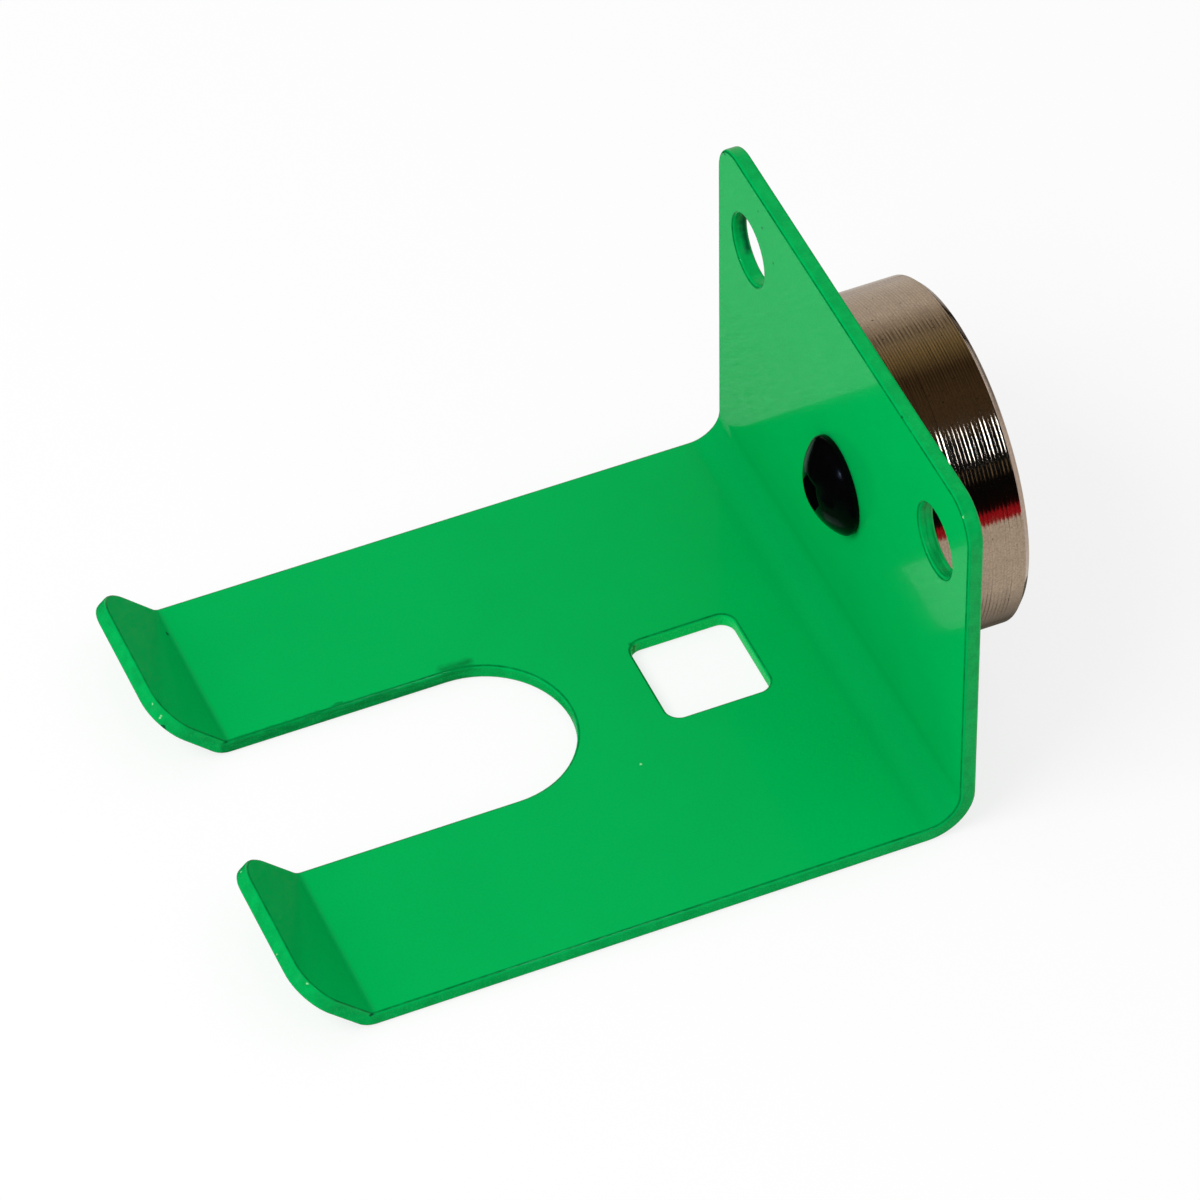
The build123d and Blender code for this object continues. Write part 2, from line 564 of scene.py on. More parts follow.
def black_oxide(settings):
    finish = Finish("black_oxide")
    place = finish.place
    black = rgba(settings.colour)
    mottle = finish.spread(finish.cloud(place, 0.6, 4.0, 0.6), 0.35, 0.75, 0.0, 0.7)
    colour = finish.blend(mottle, black, rgba(settings.colour, 2.4))
    dust = finish.spread(finish.cloud(place, 4.5, 2.0, 0.6), 0.7, 0.76, 0.0, 0.5)
    colour = finish.blend(dust, colour, (0.008, 0.008, 0.01, 1.0))
    gloss = finish.spread(finish.cloud(place, 1.8, 3.0), 0.3, 0.7, 0.14, 0.22)
    skin = finish.relief(finish.cloud(place, 3.5, 2.0), 0.006 * MM, 0.5)
    sheen = {"Specular IOR Level": 0.06, "Specular Tint": (0.7, 0.82, 1.0, 1.0)}
    return finish.painted(colour, gloss, skin, sheen)


# Shapes


def placed(name, data):
    """A new object in the scene, at the origin."""
    made = bpy.data.objects.new(name, data)
    bpy.context.scene.collection.objects.link(made)
    return made


def piece_from(name, shape, material):
    """Makes an object of a bmesh, at the origin."""
    mesh = bpy.data.meshes.new(name)
    shape.to_mesh(mesh)
    shape.free()
    mesh.materials.append(material)
    mesh.shade_smooth()
    return placed(name, mesh)


def plain_mesh(made):
    """Applies the object's modifiers, and leaves it without any."""
    bpy.context.view_layer.update()
    graph = bpy.context.evaluated_depsgraph_get()
    result = bpy.data.meshes.new_from_object(made.evaluated_get(graph), depsgraph=graph)
    made.modifiers.clear()
    made.data = result
    result.name = made.name


def flat_faces_flat(made):
    """Shades a softened edge smooth and the large faces beside it flat."""
    weighted = made.modifiers.new("flat faces", "WEIGHTED_NORMAL")
    weighted.keep_sharp = False
    weighted.weight = 100
    plain_mesh(made)


def ramped(value, start, width):
    """0 at the start and 1 a width past it. A negative width runs the other way."""
    return min(max((value - start) / width, 0.0), 1.0)


def skin_depth(point):
    """How near a point is to the sheet's skins: 1 at a skin, 0 in the sheet's middle."""
    half = SHEET / 2.0
    flange, shelf = CUP_SEAT - half, PLATE_LOW.z + half
    bend = FLANGE_BEND + half
    bend_y, bend_z = flange - bend, shelf + bend
    out = LIP_FOLD - half * tan(radians(22.5)) - point.y
    rise = point.z - shelf
    if out > 0.0 and rise > -out:
        away = abs(rise - out) * cos(radians(45.0))
    elif point.y > bend_y and point.z < bend_z:
        away = abs(hypot(point.y - bend_y, point.z - bend_z) - bend)
    elif point.z > bend_z:
        away = abs(point.y - flange)
    else:
        away = abs(rise)
    return away / half


def hand_over(made, node):
    """Shades a finished piece, and puts it in the place of its node."""
    if not made.data.polygons:
        raise RuntimeError(f"{made.name} has no faces")
    flat_faces_flat(made)
    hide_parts(node)
    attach(made, "root")


def turned(section, steps, closed=True):
    """Turns points of (radius, y), or functions of the angle for them, about Y."""
    shape = bmesh.new()
    angles = [2.0 * pi * i / steps for i in range(steps)]
    rings = []
    for point in section:
        places = [point(a) if callable(point) else point for a in angles]
        if places[0][0] < MERGE:
            rings.append([shape.verts.new((0.0, places[0][1], 0.0))] * steps)
        else:
            ring = [(r * cos(a), y, r * sin(a)) for (r, y), a in zip(places, angles)]
            rings.append([shape.verts.new(p) for p in ring])
    following = rings[1:] + rings[:1] if closed else rings[1:]
    for near, far in zip(rings, following):
        for i in range(steps):
            j = (i + 1) % steps
            corners = list(dict.fromkeys((near[i], near[j], far[j], far[i])))
            if len(corners) > 2:
                shape.faces.new(corners)
    bmesh.ops.recalc_face_normals(shape, faces=shape.faces)
    return shape


def softened(section):
    """Rounds the corners of a closed half section of (radius, y, softness) points."""
    steps = 3
    line = []
    for i, (radius, y, softness) in enumerate(section):
        here = Vector((radius, y))
        if not softness:
            line.append(here)
            continue
        back = (Vector(section[i - 1][:2]) - here).normalized()
        ahead = (Vector(section[(i + 1) % len(section)][:2]) - here).normalized()
        half = back.angle(ahead) / 2.0
        centre = here + (back + ahead).normalized() * softness / sin(half)
        start, end = (here + way * softness / tan(half) - centre for way in (back, ahead))
        for k in range(steps + 1):
            line.append(centre + start.lerp(end, k / steps).normalized() * softness)
    return [tuple(p) for p in line]


def evenly(start, end, count):
    """Points strictly between two ends."""
    return [start + (end - start) * k / (count + 1) for k in range(1, count + 1)]


def new_tree(name, inputs):
    """An empty geometry tree with a mesh, named inputs and a material."""
    tree = bpy.data.node_groups.new(name, "GeometryNodeTree")
    tree.interface.new_socket("Mesh", in_out="INPUT", socket_type="NodeSocketGeometry")
    for label, kind in {**inputs, "Material": "Material"}.items():
        kind = f"NodeSocket{kind}"
        tree.interface.new_socket(label, in_out="INPUT", socket_type=kind)
    tree.interface.new_socket("Mesh", in_out="OUTPUT", socket_type="NodeSocketGeometry")
    wiring = Wiring(tree)
    wiring.source = wiring.node("NodeGroupInput")
    return wiring


def end_tree(wiring, geometry):
    """Ends a tree in Realize Instances and Set Material."""
    whole = wiring.node("GeometryNodeRealizeInstances", {0: geometry}).outputs[0]
    painted = {"Geometry": whole, "Material": wiring.source.outputs["Material"]}
    finished = wiring.node("GeometryNodeSetMaterial", painted).outputs[0]
    wiring.node("NodeGroupOutput", {0: finished})
    return wiring.tree


def run_tree(made, tree, values):
    """Runs a geometry tree on an object with these inputs, and keeps the plain result."""
    modifier = made.modifiers.new(tree.name, "NODES")
    modifier.node_group = tree
    for item in tree.interface.items_tree:
        if item.in_out == "INPUT" and item.name in values:
            modifier[item.identifier] = values[item.name]
    plain_mesh(made)


def across_axis(wiring):
    """Sockets for the radius, the Y and the outward direction at each point."""
    position = wiring.node("GeometryNodeInputPosition").outputs[0]
    parts = wiring.node("ShaderNodeSeparateXYZ", {0: position}).outputs
    outward = wiring.vector("MULTIPLY", position, (1.0, 0.0, 1.0))
    radius = wiring.vector("LENGTH", outward, out=1)
    return parts, radius, wiring.vector("NORMALIZE", outward)


def groove_tree():
    """Cuts shallow turning grooves round a side wall, each of its own depth."""
    inputs = {"Wall radius": "Float", "Pitch": "Float", "Depth": "Float", "Seed": "Int"}
    wiring = new_tree("turning grooves", inputs)
    given = wiring.source.outputs
    parts, radius, outward = across_axis(wiring)
    turns = wiring.maths("DIVIDE", parts["Y"], given["Pitch"])
    phase = wiring.maths("FRACT", turns)
    scallop = wiring.times(phase, wiring.maths("SUBTRACT", 1.0, phase))
    number = wiring.maths("FLOOR", turns)
    drawn = wiring.node("FunctionNodeRandomValue", {"ID": number, "Seed": given["Seed"]})
    uneven = wiring.spread(drawn.outputs[1], 0.0, 1.0, 1.5, 3.6)
    cut = wiring.times(wiring.times(scallop, uneven), given["Depth"])

    # A wandering depth, below zero so that the wall moves inwards
    wander = wiring.node("GeometryNodeInputPosition").outputs[0]
    wander = wiring.cloud(wiring.vector("MULTIPLY", wander, PER_MM), 0.35, 2.0)
    cut = wiring.times(cut, wiring.spread(wander, 0.3, 0.7, -0.7, -1.2))
    move = wiring.scaled(outward, cut)
    limit = wiring.maths("SUBTRACT", given["Wall radius"], MERGE)
    on_wall = wiring.maths("GREATER_THAN", radius, limit)
    moved = {"Geometry": given["Mesh"], "Selection": on_wall, "Offset": move}
    return end_tree(wiring, wiring.node("GeometryNodeSetPosition", moved).outputs[0])


def thread_tree():
    """Raises a screw thread on a shank by cutting the groove between its ridges."""
    inputs = dict.fromkeys(("Shank radius", "Pitch", "Depth", "Start"), "Float")
    wiring = new_tree("screw thread", inputs)
    given = wiring.source.outputs
    parts, radius, outward = across_axis(wiring)
    angle = wiring.maths("ARCTAN2", parts["Z"], parts["X"])
    turns = wiring.maths("DIVIDE", parts["Y"], given["Pitch"])
    turns = wiring.plus(turns, wiring.maths("DIVIDE", angle, 2.0 * pi))
    ridge = wiring.maths("PINGPONG", turns, 0.5)
    groove = wiring.spread(ridge, 0.06, 0.4)
    past = wiring.maths("SUBTRACT", parts["Y"], given["Start"])
    fade = wiring.spread(past, 0.0, given["Pitch"])
    cut = wiring.times(wiring.times(groove, fade), given["Depth"])
    move = wiring.scaled(outward, wiring.times(cut, -1.0))
    close = wiring.maths("COMPARE", radius, given["Shank radius"], MERGE)
    moved = {"Geometry": given["Mesh"], "Selection": close, "Offset": move}
    return end_tree(wiring, wiring.node("GeometryNodeSetPosition", moved).outputs[0])


# Pieces

# Faces within the first angle are one flat face; edges past the second are cut edges
FLAT_ANGLE, CUT_ANGLE = radians(0.4), radians(40.0)
# Skin depths where a cut face and an arris start, and how far they run in
CUT_FACE_RAMP, ARRIS_RAMP = (0.85, -0.2), (0.84, 0.07)


class HANGER_OT_coated_plate(bpy.types.Operator):
    """Build the folded sheet with the soft edges that its powder coat gives it"""

    bl_idname = "hanger.coated_plate"
    bl_label = "Coated plate"

    def execute(self, context):
        settings = context.scene.hanger_coat
        shape = bmesh.new()
        shape.from_mesh(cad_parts["hanger_plate"].data)
        bmesh.ops.remove_doubles(shape, verts=shape.verts, dist=MERGE)
        bmesh.ops.dissolve_limit(
            shape, angle_limit=FLAT_ANGLE, verts=shape.verts, edges=shape.edges
        )
        cut_edges = [e for e in shape.edges if e.calc_face_angle(0.0) > CUT_ANGLE]
        if not cut_edges:
            raise RuntimeError("The sheet has no cut edges to soften")
        bmesh.ops.bevel(
            shape,
            geom=cut_edges,
            offset=settings.edge_softness,
            offset_type="OFFSET",
            segments=5,
            profile=0.5,
            affect="EDGES",
            material=1,
        )
        arris = shape.verts.layers.float.new("arris")
        cut_face = shape.verts.layers.float.new("cut_face")
        for vert in shape.verts:
            depth = skin_depth(vert.co)
            vert[cut_face] = ramped(depth, *CUT_FACE_RAMP)
            if all(f.material_index == 1 for f in vert.link_faces):
                vert[arris] = ramped(depth, *ARRIS_RAMP)
        for face in shape.faces:
            face.material_index = 0
        made = piece_from("coated_plate", shape, powder_coat(settings))
        hand_over(made, "hanger_plate")
        return {"FINISHED"}


class HANGER_OT_turned_cup(bpy.types.Operator):
    """Turn the magnet's steel pot and cut the lathe's grooves round its side"""

    bl_idname = "hanger.turned_cup"
    bl_label = "Turned cup"

    def execute(self, context):
        settings = context.scene.hanger_magnet
        wall_start, wall_end = CUP_SEAT + SEAT_BEVEL, CUP_MOUTH - RIM_BEVEL
        rings = round((wall_end - wall_start) / settings.groove_pitch) * RINGS_PER_GROOVE
        wall = [(CUP_RADIUS, y, 0.0) for y in evenly(wall_start, wall_end, rings)]
        section = [
            (CUP_BORE, CUP_SEAT, CUP_SOFT),
            (CUP_RADIUS - SEAT_BEVEL, CUP_SEAT, CUP_SOFT),
            (CUP_RADIUS, wall_start, 0.0),
            *wall,
            (CUP_RADIUS, wall_end, 0.0),
            (CUP_RADIUS - RIM_BEVEL, CUP_MOUTH, CUP_SOFT),
            (RING_RADIUS + MOUTH_BEVEL, CUP_MOUTH, CUP_SOFT),
            (RING_RADIUS, CUP_MOUTH - MOUTH_BEVEL, CUP_SOFT),
            (RING_RADIUS, CUP_FLOOR, 0.0),
            (CUP_BORE, CUP_FLOOR, CUP_SOFT),
        ]
        material = nickel_plate(settings)
        made = piece_from("turned_cup", turned(softened(section), CUP_STEPS), material)
        values = {
            "Wall radius": CUP_RADIUS,
            "Pitch": settings.groove_pitch,
            "Depth": settings.groove_depth,
            "Seed": settings.groove_seed,
            "Material": material,
        }
        run_tree(made, groove_tree(), values)
        hand_over(made, "magnet_cup")
        return {"FINISHED"}


class HANGER_OT_magnet_core(bpy.types.Operator):
    """Build the ferrite disc and the resin that holds it in the pot"""

    bl_idname = "hanger.magnet_core"
    bl_label = "Magnet core"

    def execute(self, context):
        settings = context.scene.hanger_magnet
        self.disc(settings)
        self.ring(settings)
        return {"FINISHED"}

    def disc(self, settings):
        """A ground disc whose sharp edge has small chips."""
        bevel_rings, diagonal = 4, 0.7
        # How far from the edge chips reach, their depth and grain, and how rare they are
        reach, bite_depth, bite_grain, bite_over = 0.75 * MM, 0.9 * MM, 700.0, 0.28
        bevel_start = CUP_MOUTH - DISC_BEVEL
        section = [(0.0, CUP_FLOOR), (DISC_RADIUS, CUP_FLOOR)]
        section += [(DISC_RADIUS, y) for y in evenly(CUP_FLOOR, bevel_start, 3)]
        for k in range(bevel_rings + 1):
            along = DISC_BEVEL * k / bevel_rings
            section.append((DISC_RADIUS - along, bevel_start + along))
        inner = DISC_RADIUS - DISC_BEVEL
        section += [(inner - gap * MM, CUP_MOUTH) for gap in (0.25, 0.6, 2.0)]
        section.append((0.0, CUP_MOUTH))
        shape = turned(section, DISC_STEPS, closed=False)
        edge = Vector((DISC_RADIUS - DISC_BEVEL / 2, CUP_MOUTH - DISC_BEVEL / 2))
        for vert in shape.verts:
            radius = hypot(vert.co.x, vert.co.z)
            away = (Vector((radius, vert.co.y)) - edge).length
            bite = noise.noise(vert.co * bite_grain) - bite_over
            if away < reach and bite > 0.0:
                depth = bite_depth * bite * (1.0 - away / reach)
                inward = Vector((-vert.co.x, 0.0, -vert.co.z)).normalized()
                vert.co += (inward + Vector((0.0, -1.0, 0.0))) * depth * diagonal
        made = piece_from("ferrite_disc", shape, ground_ferrite(settings))
        hand_over(made, "magnet_disc")

    def ring(self, settings):
        """A ring of resin that climbs a little at both walls."""
        dip, swell, swell_grain = 0.16 * MM, 0.05 * MM, 220.0
        spans = 12
        wide = RING_RADIUS - RING_BORE
        top = []
        for k in range(spans + 1):
            across = 2.0 * k / spans - 1.0
            level = RING_TOP - dip * (1.0 - across**4)
            top.append((RING_BORE + wide * k / spans, level))
        section = [(RING_BORE, CUP_FLOOR), *top, (RING_RADIUS, CUP_FLOOR)]
        shape = turned(section, RESIN_STEPS)
        for vert in shape.verts:
            if vert.co.y > RING_TOP - 1.5 * dip:
                across = 2.0 * (hypot(vert.co.x, vert.co.z) - RING_BORE) / wide - 1.0
                wave = swell * noise.noise(vert.co * swell_grain)
                vert.co.y += wave * (1.0 - abs(across))
        made = piece_from("resin_ring", shape, potting_resin(settings))
        hand_over(made, "potting_ring")


def crown(radius):
    """Y of the screw's round crown at a distance from its axis."""
    return CROWN_CENTRE - sqrt(CROWN_RADIUS**2 - radius**2)


def socket_side(angle, grow=0.0):
    """Distance from the axis to the socket's side, with slightly eased corners."""
    turn = (angle % (pi / 3.0)) - pi / 6.0
    flat = SOCKET_WIDTH / 2.0 + grow
    return min(flat / cos(turn), SOCKET_CORNER * flat)


class HANGER_OT_black_screw(bpy.types.Operator):
    """Build the domed screw with its hexagon socket and its thread"""

    bl_idname = "hanger.black_screw"
    bl_label = "Black screw"

    def execute(self, context):
        settings = context.scene.hanger_screw
        section = self.socket() + self.head() + self.shank()
        shape = turned(section, SCREW_STEPS, closed=False)
        material = black_oxide(settings)
        made = piece_from("domed_black_screw", shape, material)
        values = {
            "Shank radius": SHANK_RADIUS,
            "Pitch": settings.thread_pitch,
            "Depth": settings.thread_depth,
            "Start": HEAD_SEAT + SHEET,
            "Material": material,
        }
        run_tree(made, thread_tree(), values)
        hand_over(made, "domed_screw")
        return {"FINISHED"}

    def socket(self):
        """The hexagon socket, from its coned floor to its eased lip."""
        cone, corner = 0.35 * MM, 0.04 * MM
        floor = CROWN_TOP + SOCKET_DEPTH
        rings = [(0.0, floor + cone)]
        for share in (0.45, 0.97):
            y = floor + cone * (1.0 - share)
            rings.append(lambda a, s=share, y=y: (socket_side(a) * s, y))
        for y in (floor - corner, (floor + CROWN_TOP) / 2.0):
            rings.append(lambda a, y=y: (socket_side(a), y))
        for k in range(5):
            lean = k * pi / 8.0
            grow, drop = SOCKET_SOFT * (1.0 - cos(lean)), SOCKET_SOFT * (1.0 - sin(lean))

            def lip(angle, grow=grow, drop=drop):
                radius = socket_side(angle, grow)
                return radius, crown(radius) + drop

            rings.append(lip)
        return rings

    def head(self):
        """The crown, the rim that rounds it off, and the seat on the flange."""
        spans, tuck = 12, 0.02 * MM
        edge = HEAD_RADIUS - RIM_SOFT * 0.75
        rings = []
        for k in range(1, spans + 1):

            def dome(angle, share=k / spans):
                radius = socket_side(angle, SOCKET_SOFT) * (1.0 - share) + edge * share
                return radius, crown(radius)

            rings.append(dome)
        shoulder = crown(HEAD_RADIUS)
        start = Vector((edge, crown(edge)))
        end = Vector((HEAD_RADIUS, shoulder + RIM_SOFT * 0.5))
        bend = Vector((HEAD_RADIUS - tuck, shoulder + tuck))
        for t in (0.25, 0.5, 0.75, 1.0):
            rim = start * (1 - t) ** 2 + bend * 2 * t * (1 - t) + end * t**2
            rings.append(tuple(rim))
        for k in range(4):
            lean = k * pi / 6.0
            radius = HEAD_RADIUS - SEAT_SOFT * (1.0 - cos(lean))
            rings.append((radius, HEAD_SEAT - SEAT_SOFT * (1.0 - sin(lean))))
        return rings

    def shank(self):
        """The shank, with rings close enough for its thread, and its bevelled tip."""
        collar = 0.4 * MM
        tip_start = SCREW_TIP - TIP_BEVEL
        rings = [(SHANK_RADIUS + collar, HEAD_SEAT), (SHANK_RADIUS, HEAD_SEAT)]
        rings += [(SHANK_RADIUS, y) for y in evenly(HEAD_SEAT, tip_start, SHANK_RINGS)]
        rings += [(SHANK_RADIUS, tip_start), (SHANK_RADIUS - TIP_BEVEL, SCREW_TIP)]
        return [*rings, (0.0, SCREW_TIP)]


# Stage

CAMERA_PLACE = (0.566524, -0.278988, 0.635658)
CAMERA_AZIMUTH = radians(67.6069)
CAMERA_ELEVATION = radians(46.3565)
CAMERA_ROLL = radians(-1.0821)
CAMERA_LENS = 227.2413
SENSOR = 36.0
NEAR_CLIP, FAR_CLIP = 0.05, 30.0
LAMP_TARGET = (0.0, -0.04, 0.0)
WHITE = (1.0, 1.0, 1.0, 1.0)
FLOOR_PAINT = (0.94, 0.94, 0.94, 1.0)
FLOOR_REACH, FLOOR_GAP = 6.0, 0.01 * MM

# Soft lamp: direction (x, y, z), distance, width, height, share of the light
LAMPS = (("key_softbox", (0.15, -0.62, 0.78), 0.9, 0.5, 0.36, 0.58),)

# Cards that only reflections see: light, axis of the first edge, opposite corners
PALE = (0.66, 0.62, 0.55)
OLIVE = (0.07, 0.047, 0.023)
BLACK = (0.004, 0.0035, 0.003)
CARDS = {
    "right_flag": (BLACK, 1, (0.72, -0.9, -0.15), (0.72, 1.2, 0.6)),
    "front_flag": (BLACK, 0, (-1.2, -0.9, -0.15), (0.72, -0.9, 0.6)),
    "left_flag": (BLACK, 1, (-1.2, -0.9, -0.15), (-1.2, -0.12, 0.6)),
    "over_flag": (BLACK, 0, (-1.2, -0.9, 0.6), (0.72, 0.1, 0.6)),
    "shelf_flag": ((0.17, 0.145, 0.1), 0, (-0.63, 0.1, 0.599), (-0.44, 0.235, 0.599)),
    "base_flag": (BLACK, 0, (-1.2, -0.9, -0.15), (0.72, 0.037, -0.15)),
    "base_strip": ((0.22, 0.19, 0.15), 0, (-0.13, 0.022, -0.149), (0.2, 0.038, -0.149)),
    "rear_flag": (BLACK, 0, (-0.6, 0.3, -0.26), (-0.25, 0.3, -0.1)),
    "back_flag": (BLACK, 0, (-0.85, 0.45, -0.1), (-0.3, 0.45, 0.56)),
    "left_card": (PALE, 1, (-1.2, -0.12, -0.3), (-1.2, 1.2, 0.6)),
    "over_card": (BLACK, 0, (-1.2, 0.1, 0.6), (0.72, 1.2, 0.6)),
    "far_card": (BLACK, 0, (-0.13, -0.056, -0.05), (0.008, -0.02, -0.05)),
    "under_card": (BLACK, 0, (-1.2, 0.037, -0.15), (0.13, 0.11, -0.15)),
    "rim_card": (BLACK, 0, (-0.6, 0.11, -0.15), (0.13, 1.4, -0.15)),
    "crest_card": ((0.6, 0.55, 0.5), 0, (-0.62, 0.11, -0.149), (-0.33, 0.25, -0.149)),
    "right_card": (PALE, 0, (0.13, 0.037, -0.15), (0.72, 0.4, -0.15)),
    "low_card": (PALE, 1, (0.71, 0.13, -0.15), (0.71, 0.9, -0.07)),
    "red_card": ((0.42, 0.012, 0.02), 1, (0.71, 0.13, -0.07), (0.71, 0.9, 0.03)),
    "screw_card": ((24.0, 28.0, 36.0), 0, (0.06, -0.86, 0.39), (0.14, -0.8, 0.51)),
    "lines_card": ((0.3, 0.24, 0.15), 1, (0.715, 0.33, 0.5), (0.715, 0.4, 0.27)),
    "streak_card": ((15.0, 17.0, 19.0), 1, (0.23, 0.058, 0.526), (0.47, 0.095, 0.301)),
}
# Cards broken into bars, the bars' stretch, and their fades in metres
BROKEN = ("streak_card", "lines_card")
BAR_STRETCH = (1.0, 260.0, 14.0)
TOP_FADE, FOOT_FADE = 0.07, 0.04
# Flecks on the far card
FLECK_SCALE = 1400.0
FLECK_DARK, FLECK_PALE = (0.08, 0.25, 0.16, 1.0), (0.54, 1.05, 0.7, 1.0)
# Cards graded along X: tones at places in metres
GRADED = {
    "over_card": (
        (-1.2, PALE),
        (-0.64, (0.38, 0.33, 0.25)),
        (-0.27, (0.26, 0.2, 0.09)),
        (-0.08, OLIVE),
        (0.34, OLIVE),
        (0.5, BLACK),
    ),
    "under_card": (
        (-0.19, (0.6, 0.55, 0.5)),
        (-0.12, (0.12, 0.11, 0.09)),
        (-0.03, (0.1, 0.09, 0.07)),
        (0.1, PALE),
    ),
    "rim_card": ((-0.35, (0.2, 0.17, 0.15)), (-0.12, (0.72, 0.67, 0.64))),
}


def glimpsed(wiring):
    """1 for rays from the camera, a reflection or a clear body, and otherwise 0."""
    path = wiring.node("ShaderNodeLightPath").outputs
    seen = wiring.maths("MAXIMUM", path["Is Camera Ray"], path["Is Glossy Ray"])
    return wiring.maths("MAXIMUM", seen, path["Is Transmission Ray"])


class HANGER_OT_stage(bpy.types.Operator):
    """Set the pale floor, the soft lamp, the background and the camera"""

    bl_idname = "hanger.stage"
    bl_label = "Stage"

    def execute(self, context):
        settings = context.scene.hanger_stage
        self.floor(settings)
        self.cards()
        self.lamps(settings)
        self.world(context.scene, settings)
        self.camera(context.scene)
        context.scene.view_settings.view_transform = "Standard"
        return {"FINISHED"}

    def sheet_at(self, name, corners, material):
        mesh = bpy.data.meshes.new(name)
        mesh.from_pydata(corners, [], [(0, 1, 2, 3)])
        mesh.materials.append(material)
        made = placed(name, mesh)
        return made

    def floor(self, settings):
        material = bpy.data.materials.new("pale_floor")
        material.use_nodes = True
        wiring = Wiring(material.node_tree)
        nodes = material.node_tree.nodes
        paint = nodes["Principled BSDF"]
        matt = {"Base Color": FLOOR_PAINT, "Roughness": 0.9, "Specular IOR Level": 0.0}
        wiring.feed(paint, matt)
        white = wiring.node("ShaderNodeEmission", {"Color": WHITE})
        share = wiring.times(glimpsed(wiring), settings.floor_paleness)
        mix = {0: share, 1: paint.outputs[0], 2: white.outputs[0]}
        mixed = wiring.node("ShaderNodeMixShader", mix)
        wiring.feed(nodes["Material Output"], {"Surface": mixed.outputs[0]})
        reach, level = FLOOR_REACH, PLATE_LOW.z - FLOOR_GAP
        ends = ((-reach, -reach), (reach, -reach), (reach, reach), (-reach, reach))
        corners = [(x, y, level) for x, y in ends]
        self.sheet_at("floor", corners, material).visible_glossy = False

    def cards(self):
        """The cards, seen by reflections alone."""
        for name, (light, axis, low, high) in CARDS.items():
            material = bpy.data.materials.new(name)
            material.use_nodes = True
            nodes = material.node_tree.nodes
            nodes.remove(nodes["Principled BSDF"])
            wiring = Wiring(material.node_tree)
            glow = wiring.node("ShaderNodeEmission", {"Color": rgba(light)})
            wiring.feed(nodes["Material Output"], {"Surface": glow.outputs[0]})
            if name in GRADED:
                wiring.feed(glow, {"Color": self.graded(wiring, GRADED[name])})
            if name == "far_card":
                wiring.feed(glow, {"Color": self.flecked(wiring)})
            if name in BROKEN:
                wiring.feed(glow, {"Strength": self.broken(wiring, low, high)})
            second, fourth = list(low), list(high)
            second[axis], fourth[axis] = high[axis], low[axis]
            card = self.sheet_at(name, (low, second, high, fourth), material)
            card.visible_camera = card.visible_diffuse = card.visible_shadow = False

    def graded(self, wiring, tones):
        """Tones along X."""
        across = wiring.along("X", wiring.object_place())
        low, high = tones[0][0], tones[-1][0]
        ramp = wiring.node("ShaderNodeValToRGB", {0: wiring.spread(across, low, high)})
        stops = ramp.color_ramp.elements
        while len(stops) < len(tones):
            stops.new(0.5)
        for stop, (at, tone) in zip(stops, tones):
            stop.position, stop.color = (at - low) / (high - low), rgba(tone)
        return ramp.outputs[0]

    def flecked(self, wiring):
        """Pale with small darker flecks, which the coat's ripple turns into grain."""
        flecks = wiring.cloud(wiring.object_place(), FLECK_SCALE, 2.0, 0.6)
        flecks = wiring.spread(flecks, 0.35, 0.65)
        return wiring.blend(flecks, FLECK_DARK, FLECK_PALE)

    def broken(self, wiring, low, high):
        """Light in uneven bars along Z that fade at both ends, for the pot's grooves."""
        place = wiring.object_place()
        bars = wiring.cloud(wiring.stretched(place, BAR_STRETCH), 1.0, 3.0, 0.6)
        height = wiring.along("Z", place)
        top = wiring.spread(height, low[2], low[2] - TOP_FADE)
        foot = wiring.spread(height, high[2], high[2] + FOOT_FADE)
        return wiring.spread(wiring.times(bars, wiring.times(top, foot)), 0.4, 0.52)

    def lamps(self, settings):
        for name, way, distance, width, height, share in LAMPS:
            lamp = bpy.data.lights.new(name, "AREA")
            lamp.shape = "RECTANGLE"
            lamp.size, lamp.size_y = width, height
            lamp.energy = settings.lamps * share * (pi * distance) ** 2
            made = placed(name, lamp)
            direction = Vector(way).normalized()
            made.location = Vector(LAMP_TARGET) + direction * distance
            made.rotation_euler = direction.to_track_quat("Z", "Y").to_euler()
            made.visible_glossy = False

    def world(self, scene, settings):
        scene.world = bpy.data.worlds.new("studio")
        scene.world.use_nodes = True
        wiring = Wiring(scene.world.node_tree)
        sky = scene.world.node_tree.nodes["Background"]
        strength = wiring.spread(glimpsed(wiring), 0.0, 1.0, settings.ambient, 1.0)
        wiring.feed(sky, {"Color": WHITE, "Strength": strength})

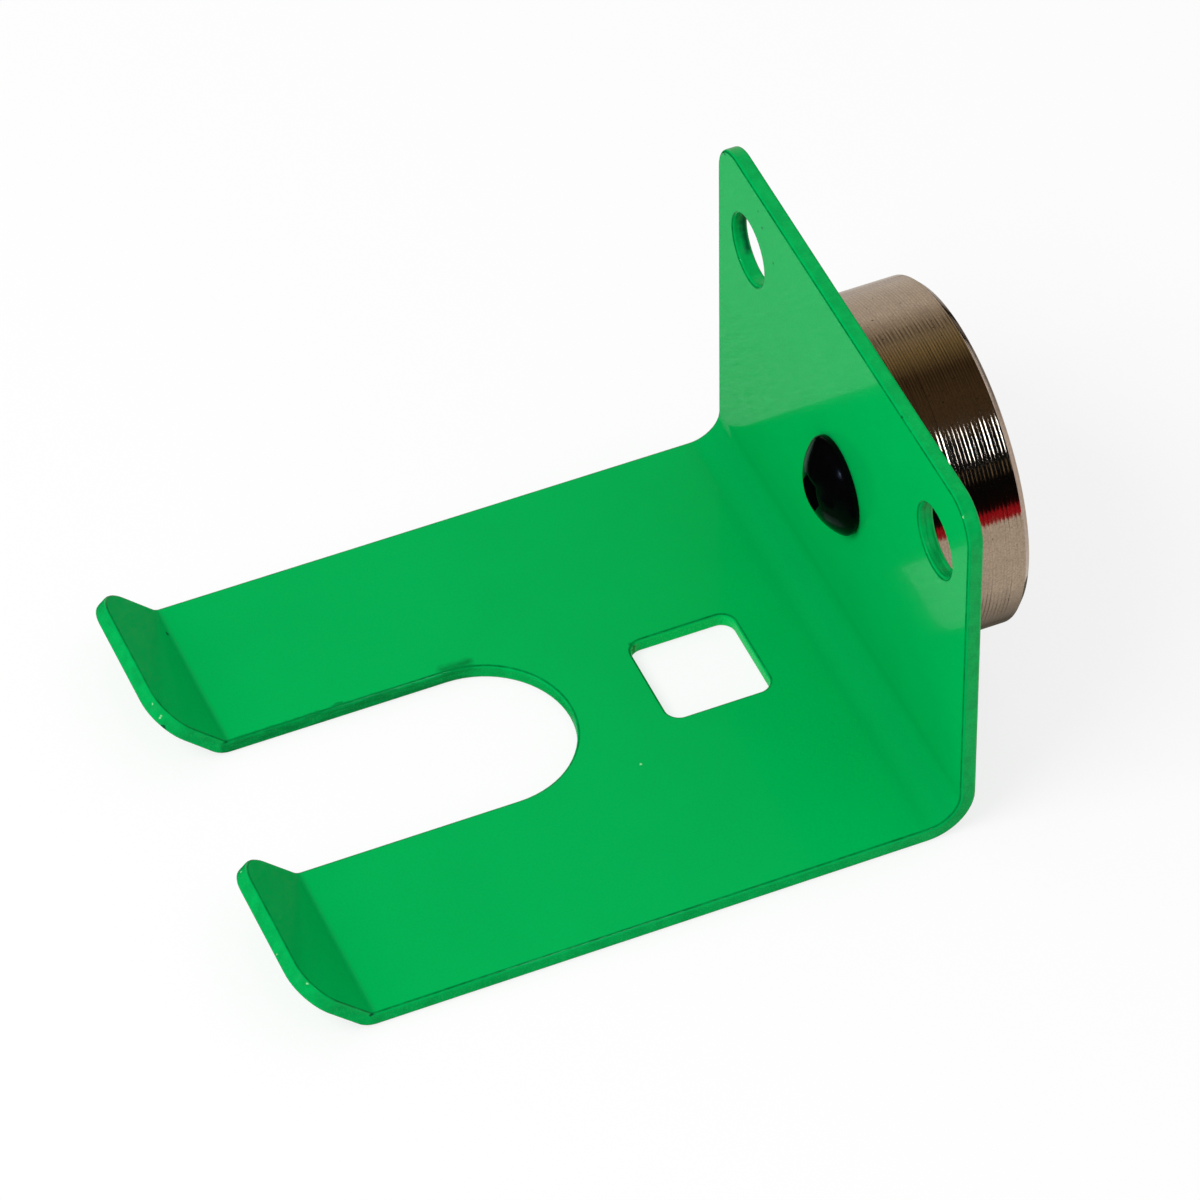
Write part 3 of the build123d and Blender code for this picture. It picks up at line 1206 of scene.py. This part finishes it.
    def camera(self, scene):
        lens = bpy.data.cameras.new("camera")
        lens.lens, lens.sensor_width = CAMERA_LENS, SENSOR
        lens.clip_start, lens.clip_end = NEAR_CLIP, FAR_CLIP
        made = placed("camera", lens)
        tilt = Matrix.Rotation(pi / 2.0 - CAMERA_ELEVATION, 4, "X")
        roll = Matrix.Rotation(CAMERA_ROLL, 4, "Z")
        turn = Matrix.Rotation(CAMERA_AZIMUTH, 4, "Z") @ tilt @ roll
        made.matrix_world = Matrix.Translation(CAMERA_PLACE) @ turn
        scene.camera = made


class HANGER_PT_sidebar(bpy.types.Panel):
    """The hanger's settings and the buttons that build it."""

    bl_idname = "HANGER_PT_sidebar"
    bl_label = "Hose hanger"
    bl_space_type = "VIEW_3D"
    bl_region_type = "UI"
    bl_category = "Hanger"

    def draw(self, context):
        for group, operators in SIDEBAR:
            box = self.layout.box()
            settings = getattr(context.scene, group)
            for name in settings.__annotations__:
                box.prop(settings, name)
            for operator in operators:
                box.operator(operator)


SETTINGS = {
    "hanger_coat": CoatSettings,
    "hanger_magnet": MagnetSettings,
    "hanger_screw": ScrewSettings,
    "hanger_stage": StageSettings,
}
SIDEBAR = (
    ("hanger_coat", ("hanger.coated_plate",)),
    ("hanger_magnet", ("hanger.turned_cup", "hanger.magnet_core")),
    ("hanger_screw", ("hanger.black_screw",)),
    ("hanger_stage", ("hanger.stage",)),
)
CLASSES = (
    *SETTINGS.values(),
    HANGER_OT_coated_plate,
    HANGER_OT_turned_cup,
    HANGER_OT_magnet_core,
    HANGER_OT_black_screw,
    HANGER_OT_stage,
    HANGER_PT_sidebar,
)


def register():
    for made in CLASSES:
        bpy.utils.register_class(made)
    for name, group in SETTINGS.items():
        setattr(bpy.types.Scene, name, PointerProperty(type=group))


def unregister():
    for name in SETTINGS:
        delattr(bpy.types.Scene, name)
    for made in reversed(CLASSES):
        bpy.utils.unregister_class(made)


def main():
    register()
    bpy.ops.hanger.stage()
    bpy.ops.hanger.coated_plate()
    bpy.ops.hanger.turned_cup()
    bpy.ops.hanger.magnet_core()
    bpy.ops.hanger.black_screw()


if __name__ == "__main__":
    main()
